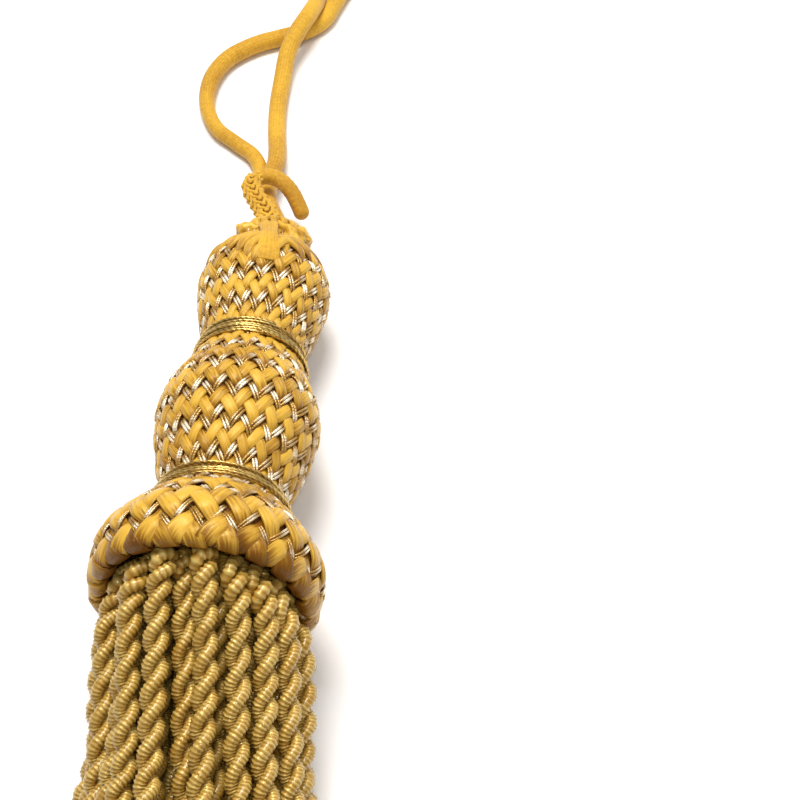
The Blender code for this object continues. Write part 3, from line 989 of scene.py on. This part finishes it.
class TASSEL_OT_braid(bpy.types.Operator):
    """Braid the sleeve: gold ribbons and pairs of bright threads, two over and two under"""

    bl_idname = "tassel.braid"
    bl_label = "Braid"

    def execute(self, context):
        settings = context.scene.tassel.braid
        _, travelled = cover_profile()
        first, last, rings_a_step = -1.7 * MM, travelled[-1] - 0.1 * MM, 4.0
        level = np.arange(first, last, settings.level_step / rings_a_step)[None, :]
        satin = ribbon_satin(settings)
        foil = bright_foil(settings)
        for lean, word in ((-1, "left"), (1, "right")):
            index = np.arange(settings.carriers)
            bright = index % 2 == (0 if lean < 0 else 1)
            self.strands(settings, level, index[~bright, None], lean, "ribbons_" + word, satin, False)
            self.strands(settings, level, index[bright, None], lean, "bright_pairs_" + word, foil, True)
        return {"FINISHED"}

    def strands(self, settings, level, index, lean, name, material, bright):
        """Strand i leaning left stands at x = 2i - n half pitches at level n, one leaning right at n - 2i.

        It is on top where x mod 4 is 0 to 1 (left) or 2 to 3 (right): its height is a tanh-squared-off cosine
        of x with a period of 4. Each stretch on top, a float, has a number and a chance of its own.
        """
        n = (level - settings.first_ring) / settings.level_step
        x = -lean * (2.0 * index - n)
        middle = 0.5 if lean < 0 else 2.5
        wave = np.tanh(2.0 * np.cos(0.5 * math.pi * (x - middle))) / math.tanh(2.0)
        float_number = np.round((x - middle) / 4.0)
        chance = chance_of(index, float_number)

        # The levels sag towards the rim. rim and skirt are 1 at the mouth and fade out up the sleeve.
        full_sag = 1.4 * MM
        sag = full_sag * (1.0 - smoothstep(4.5 * MM, 11.5 * MM, level))
        rim = 1.0 - smoothstep(0.8 * MM, 3.4 * MM, level - sag)
        skirt = 1.0 - smoothstep(8.0 * MM, 13.0 * MM, level)
        wander = 0.12 * np.sin(0.9 * n + 2.1 * index) + 0.08 * np.sin(2.3 * index)
        turn = math.pi * (x + wander) / settings.carriers
        height = settings.lift * wave * (1.0 - 0.45 * rim) - settings.seat * (1.0 - 0.35 * rim)
        height = height + 0.06 * MM * np.sin(1.7 * index + 0.6 * n) + rim_roll(level - sag)
        distance = level - sag + 0.08 * MM * np.sin(0.5 * n + 1.3 * index)
        _, outward = cover_point(distance, turn, height)
        if bright:
            # In millimetres: pairs dip under the ribbons, out of sight under the pleats, and more on the skirt
            dip = 0.16 * (1.0 - wave) + 0.6 * gathered(turn, distance)
            dip = dip + (0.10 + 0.28 * skirt) * smoothstep(0.35, 0.75, np.mod(5.0 * chance, 1.0))
            dip = (dip + 0.08 * skirt + 0.22 * rim) * MM
            size = (0.5 * settings.thread * (1.0 - 0.2 * skirt) * np.ones_like(turn))[..., None]
            centre, _ = cover_point(distance, turn, height + 0.13 * MM - dip)
            apart = 1.04 * size * unit(np.cross(tangents(centre), outward))
            path = np.concatenate([centre + apart, centre - apart])
            size = np.concatenate([size, size])
            sides = 5
            surface = (path, np.concatenate([outward, outward]), size, size)
            # Painted highlight: a bell of light near each float's middle, of random strength; the rest of the
            # float is left dull as painted shade where it dips under
            aside = x - middle - 4.0 * float_number + 1.1 * (chance - 0.5)
            tone = bell(aside, 0.0, 0.62) * (0.45 + 0.55 * np.mod(7.0 * chance, 1.0))
            tone = np.concatenate([tone, tone])
        else:
            path, _ = cover_point(distance, turn, height)
            plump = 0.5 + 0.5 * wave
            high = 0.5 * settings.ribbon_thickness * (0.75 + 0.6 * plump) * (1.0 - 0.3 * rim)
            crowd = np.clip(cover_radius(level) / (12.0 * MM), 0.66, 1.3)
            wide = 0.5 * settings.ribbon_width * (0.84 + 0.16 * plump + 0.12 * rim + 0.06 * skirt) * crowd
            sides = 8
            surface = (path, outward, high[..., None], wide[..., None])

            # Painted light and shade: a painted highlight on each float's crown that shades off towards its
            # ends, where it dips under; a painted sheen that differs by chance from float to float and between
            # the two leans; lighter on the skirt, which faces up; painted shade round the rim
            arch = np.cos(0.5 * math.pi * (x - middle)) * (1.0 - 0.6 * rim)
            tone = 0.46 + 0.34 * arch + (0.66 - 0.22 * skirt) * (chance - 0.5) + 0.06 * lean + 0.12 * skirt
            # Painted shade: darker still inside the mouth; the sine adds uneven streaks round the rim
            edge = 1.0 - smoothstep(-2.0 * MM, 2.0 * MM, distance)
            tone = tone - 0.20 * rim - 0.60 * edge + 0.12 * rim * np.sin(5.0 * turn + 2.0)
            tone = np.clip(tone, 0.05, 1.0)
        mesh = swept_mesh(name, *surface, sides, SLEEVE_SOFTNESS, power=1.0 if bright else 0.75)
        point_values(mesh, "tone", tone, sides)
        dress(name, mesh, material, "braid", "head_cover")


class TASSEL_OT_rim(bpy.types.Operator):
    """Roll the sleeve's edge over the mouth"""

    bl_idname = "tassel.rim"
    bl_label = "Rolled rim"

    def execute(self, context):
        """At a turn and a distance the roll lies close under the strands that run round it."""
        settings = context.scene.tassel.braid
        outer = np.linspace(3.8, -5.0, 26) * MM
        inner = np.linspace(-5.4, 4.4, 10) * MM
        distance = np.concatenate([outer, inner])[None, :]
        turn = full_turn(468)[:, None]
        hair = np.sin(117.0 * turn + 2.5 * np.sin(5.0 * turn) + 1100.0 * distance)
        sunk = smoothstep(1.8 * MM, 3.4 * MM, distance)
        height = -0.50 * MM + 0.02 * MM * hair + rim_roll(distance) - 0.7 * MM * sunk
        height[:, len(outer):] = -0.9 * MM
        points, _ = cover_point(distance, turn, height)
        mesh = tube_mesh("rim", rest_on_floor(points[None], CORD_SOFTNESS), closed=True)
        # Painted shade: the roll's tone is kept low, so it takes a shaded brown, and falls to the painted
        # shade colour inside the mouth; the hair adds streaks
        tone = (0.2 + 0.04 * hair) * smoothstep(-3.0 * MM, 1.0 * MM, distance)
        point_values(mesh, "tone", np.clip(tone, 0.0, 1.0))
        dress("rolled_rim", mesh, ribbon_satin(settings), "braid", "head_cover")
        return {"FINISHED"}


class TASSEL_OT_ruffle(bpy.types.Operator):
    """Gather the sleeve's ends round the top hole and lay the pleats that run down from them"""

    bl_idname = "tassel.ruffle"
    bl_label = "Ruffle and pleats"

    def execute(self, context):
        satin = ribbon_satin(context.scene.tassel.braid)
        self.ends(satin)
        self.pleats(satin)
        return {"FINISHED"}

    def ends(self, satin):
        """A crumpled ring round the hole, with a lump left of the hook and a larger one right of it."""
        turn = full_turn(240)[:, None] - math.pi
        rounds = full_turn(28)[None, :]
        left = bell(turn, -0.92, 0.42)
        right = bell(turn, 0.88, 0.50)
        behind = smoothstep(1.2, 2.0, np.abs(turn))
        size = (0.9 + 1.15 * left + 1.35 * right + 0.45 * behind * (1.0 + np.sin(7.0 * turn))) * MM
        radius = (4.7 + 0.3 * left + 0.6 * right) * MM
        along = (73.4 - 0.5 * left - 2.1 * right) * MM
        crumple = 0.16 * np.sin(3.0 * rounds + 6.0 * turn) + 0.10 * np.sin(5.0 * rounds - 11.0 * turn + 1.0)
        crumple = crumple + 0.05 * np.sin(2.0 * rounds + 31.0 * turn)
        section = size * (1.0 + crumple)
        points = on_head(along + section * np.sin(rounds), turn, radius + section * np.cos(rounds))
        mesh = tube_mesh("ruffle", rest_on_floor(points[None], SLEEVE_SOFTNESS), closed=True)
        # Painted light and shade: lighter where the crumpled section swells out, darker in its creases
        point_values(mesh, "tone", np.clip(0.72 + 1.3 * crumple, 0.05, 1.0))
        dress("gathered_ends", mesh, satin, "braid", "head_cover")

    def pleats(self, satin):
        """Each pleat runs from its start to its end in an arch and narrows towards its end."""
        part = np.linspace(0.0, 1.0, 28)[None, :]
        sides = 12
        start, first, finish, last, arch, width = np.array(PLEATS).T[:, :, None]
        turn = start + (finish - start) * part + 0.02 * np.sin(9.0 * part + 5.0 * start)
        distance = (first + (last - first) * part + 4.0 * arch * part * (1.0 - part)) * MM
        swell = np.sin(math.pi * (0.12 + 0.88 * part)) ** 0.6
        centre, outward = cover_point(distance, turn, (0.22 * swell - 0.25 * part) * MM)
        high = 0.52 * MM * swell + 0.05 * MM
        wide = 0.5 * width * MM * (0.6 + 0.4 * swell) * (1.0 - 0.6 * smoothstep(0.7, 1.0, part))
        surface = (centre, outward, high[..., None], wide[..., None])
        mesh = swept_mesh("pleats", *surface, sides, SLEEVE_SOFTNESS)
        tone = 0.62 + 0.25 * np.sin(2.6 * start + 4.0 * part) - 0.2 * part
        point_values(mesh, "tone", np.clip(tone, 0.05, 1.0), sides)
        dress("pleats", mesh, satin, "braid", "head_cover")


class TASSEL_OT_bindings(bpy.types.Operator):
    """Wind the two bindings of thin two-ply metal cord"""

    bl_idname = "tassel.bindings"
    bl_label = "Bindings"

    def execute(self, context):
        settings = context.scene.tassel.binding
        metal = binding_metal(settings)
        for name, node, centre, cord, phase in (
            ("upper_winding", "upper_binding", UPPER_BINDING, settings.upper_cord, 0.4),
            ("lower_winding", "lower_binding", LOWER_BINDING, settings.lower_cord, 2.3),
        ):
            turns = np.linspace(-0.02, settings.turns + 0.02, 960)
            turn = math.tau * turns + phase
            uneven = 0.16 * np.sin(0.5 * turn + phase) + 0.10 * np.sin(1.31 * turn + 2.0 * phase)
            along = centre + cord * (turns - 0.5 * settings.turns + uneven)
            radius = head_radius(along) + 0.18 * MM + 0.5 * cord + 0.1 * MM * np.sin(0.73 * turn + phase)
            path = on_head(along, turn, radius)[None]
            outward = unit(on_head(along, turn, radius + 1.0 * MM) - path[0])[None]
            across = unit(np.cross(tangents(path), outward))
            spin = turn[None, :, None] * np.mean(radius) * math.tau / settings.lay
            away = outward * np.cos(spin) + across * np.sin(spin)
            ply = np.full((1, len(turn), 1), 0.27 * cord)
            plies = np.concatenate([path + ply * away, path - ply * away])
            away = np.concatenate([away, -away])
            mesh = swept_mesh(name, plies, away, ply, ply, 6, CORD_SOFTNESS)
            dress(name, mesh, metal, "binding", node)
        return {"FINISHED"}


class TASSEL_OT_fringe(bpy.types.Operator):
    """Twist the bullion strands and lay them out of the mouth"""

    bl_idname = "tassel.fringe"
    bl_label = "Fringe"

    def execute(self, context):
        settings = context.scene.tassel.fringe
        rows = strand_centres()
        gimp = fringe_gimp(settings, "fringe_gimp", True)
        plain = fringe_gimp(settings, "fringe_gimp_under", False)
        shown = exposed_strands(rows)
        index = np.arange(STRANDS)
        upper_a, upper_b = np.array_split(index[shown], 2)
        length = FRINGE_LENGTH * math.hypot(1.0, math.pi * settings.ply / settings.twist)
        fine, coarse = 2 * round(length / settings.ridge), 190
        self.strands(settings, rows, upper_a, fine, "bullion_upper_a", gimp, settings.ridge_height)
        self.strands(settings, rows, upper_b, fine, "bullion_upper_b", gimp, settings.ridge_height)
        self.strands(settings, rows, index[~shown], coarse, "bullion_lower", plain, 0.0)
        return {"FINISHED"}

    def strands(self, settings, rows, index, rings_down, name, material, ridge):
        """Each strand is one gimp that runs down as a helix, turns back at its end and winds up on itself.

        At a distance d its two runs stand at the strand's centre plus the ply's radius, at an angle of one
        turn for each twist length, which closes up towards the mouth, and half a turn further.
        """
        order = index[:, None].astype(float)
        start = (1.5 * np.sin(2.9 * order + 0.7) - 0.4) * MM
        end = FRINGE_LENGTH + LENGTH_SPREAD * np.sin(2.4 * order)
        inside = 4.5 * MM
        part = np.linspace(0.0, 1.0, rings_down)[None, :]
        distance = start - inside + (end - start + inside) * part
        centre = self.centre(rows, index, distance, start)

        lay = settings.twist * (1.0 + 0.05 * np.sin(3.7 * order))
        closing = 0.42 * (1.0 - np.exp(-np.clip(distance - start, 0.0, None) / (2.2 * MM)))
        turns = distance / lay + closing + 0.04 * np.sin(distance / (9.0 * MM) + 5.1 * order)
        angle = math.tau * turns + math.pi * (0.35 + 0.12 * np.sin(4.3 * order))
        bulge = bell(distance - start, 1.0 * MM, 2.0 * MM)
        reach = (0.5 * settings.ply * (1.0 + 0.22 * bulge))[..., None]
        forward = tangents(centre)
        side = unit(np.cross(cord_frame(centre), forward))
        rise = unit(np.cross(forward, side))
        rise = rise * np.sign(rise[..., 2:])
        away = side * np.cos(angle)[..., None] + rise * np.sin(angle)[..., None]
        bend = np.linspace(0.0, math.pi, 9)[None, 1:-1, None]
        turn_out = np.cos(bend) * away[:, -1:] + np.sin(bend) * forward[:, -1:]
        turn_back = centre[:, -1:] + reach[:, -1:] * turn_out
        path = np.concatenate([centre + reach * away, turn_back, (centre - reach * away)[:, ::-1]], axis=1)
        normal = np.concatenate([away, turn_out, -away[:, ::-1]], axis=1)

        # Ridges are every second ring. Each has a chance of its own, and the gimp swells slowly along it.
        ring = np.arange(path.shape[1])[None, :]
        crest = (0.5 + 0.5 * np.cos(math.pi * ring))[..., None]
        chance = chance_of(np.floor(ring / 2.0), order)[..., None]
        swell = (np.sin(0.071 * ring + 3.1 * order) * np.sin(0.023 * ring + order))[..., None]
        size = 0.5 * settings.ply * (1.0 + 0.06 * swell) + ridge * (crest - 0.5) + 0.05 * MM * (chance - 0.5)
        sides = 6
        mesh = swept_mesh(name, path, normal, size, size, sides, CORD_SOFTNESS)
        # Painted glint on each ridge, of random strength, and painted shade in the grooves between ridges
        point_values(mesh, "crest", crest * (0.5 + 0.7 * chance), sides)
        dress(name, mesh, material, "fringe", "bullion_fringe")

    def centre(self, rows, index, distance, start):
        """Strand centres at the given distances, drawn in to the head's axis inside the mouth."""
        station = np.clip(distance / STATION_STEP, 0.0, len(rows) - 1.001)
        whole = np.floor(station).astype(int)
        part = (station - whole)[..., None]
        strand = np.broadcast_to(index[:, None], distance.shape)
        place = rows[whole, strand] * (1.0 - part) + rows[whole + 1, strand] * part
        inside = smoothstep(0.0, 5.0 * MM, start + 0.4 * MM - distance)[..., None]
        drawn_in = 0.22
        place = place + (np.array([0.0, AXIS_START]) - place) * drawn_in * inside

        # The bundle opens out under the rim and closes again, swings aside, and its left edge spreads
        opening = smoothstep(0.0, 5.0 * MM, distance) - smoothstep(9.0 * MM, 26.0 * MM, distance)
        x = place[..., 0] * (1.0 + MOUTH_FLARE * opening) + np.clip(distance, 0.0, None) * math.tan(SWING)
        left = np.clip(-place[..., 0] / (9.0 * MM), 0.0, 1.0)
        x = x - 2.0 * MM * left * smoothstep(8.0 * MM, 34.0 * MM, distance)
        x = x + 0.12 * MM * np.sin(distance / (6.5 * MM) + 1.9 * strand)
        z = place[..., 1] - np.clip(-distance, 0.0, None) * math.tan(TILT)
        return np.stack([x, -distance, z], axis=-1) + RIM_CENTRE


class TASSEL_PT_panel(bpy.types.Panel):
    """The tassel's steps in the sidebar"""

    bl_idname = "TASSEL_PT_panel"
    bl_label = "Tassel"
    bl_space_type = "VIEW_3D"
    bl_region_type = "UI"
    bl_category = "Tassel"

    def draw(self, context):
        for step in STEPS:
            self.layout.operator(step.bl_idname)


STEPS = (
    TASSEL_OT_stage,
    TASSEL_OT_tie_cord,
    TASSEL_OT_hook_cord,
    TASSEL_OT_hook_root,
    TASSEL_OT_core,
    TASSEL_OT_braid,
    TASSEL_OT_rim,
    TASSEL_OT_ruffle,
    TASSEL_OT_bindings,
    TASSEL_OT_fringe,
)
SETTINGS = (
    TasselStageSettings,
    TasselCordSettings,
    TasselBraidSettings,
    TasselBindingSettings,
    TasselFringeSettings,
    TasselSettings,
)


def register():
    """Make the settings, steps and panel known to Blender."""
    for kind in SETTINGS + STEPS + (TASSEL_PT_panel,):
        bpy.utils.register_class(kind)
    bpy.types.Scene.tassel = bpy.props.PointerProperty(type=TasselSettings)


def unregister():
    """Take them away again."""
    del bpy.types.Scene.tassel
    for kind in reversed(SETTINGS + STEPS + (TASSEL_PT_panel,)):
        bpy.utils.unregister_class(kind)


def main():
    """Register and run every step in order."""
    register()
    bpy.ops.tassel.stage()
    bpy.ops.tassel.tie_cord()
    bpy.ops.tassel.hook_cord()
    bpy.ops.tassel.hook_root()
    bpy.ops.tassel.core()
    bpy.ops.tassel.braid()
    bpy.ops.tassel.rim()
    bpy.ops.tassel.ruffle()
    bpy.ops.tassel.bindings()
    bpy.ops.tassel.fringe()


if __name__ == "__main__":
    main()
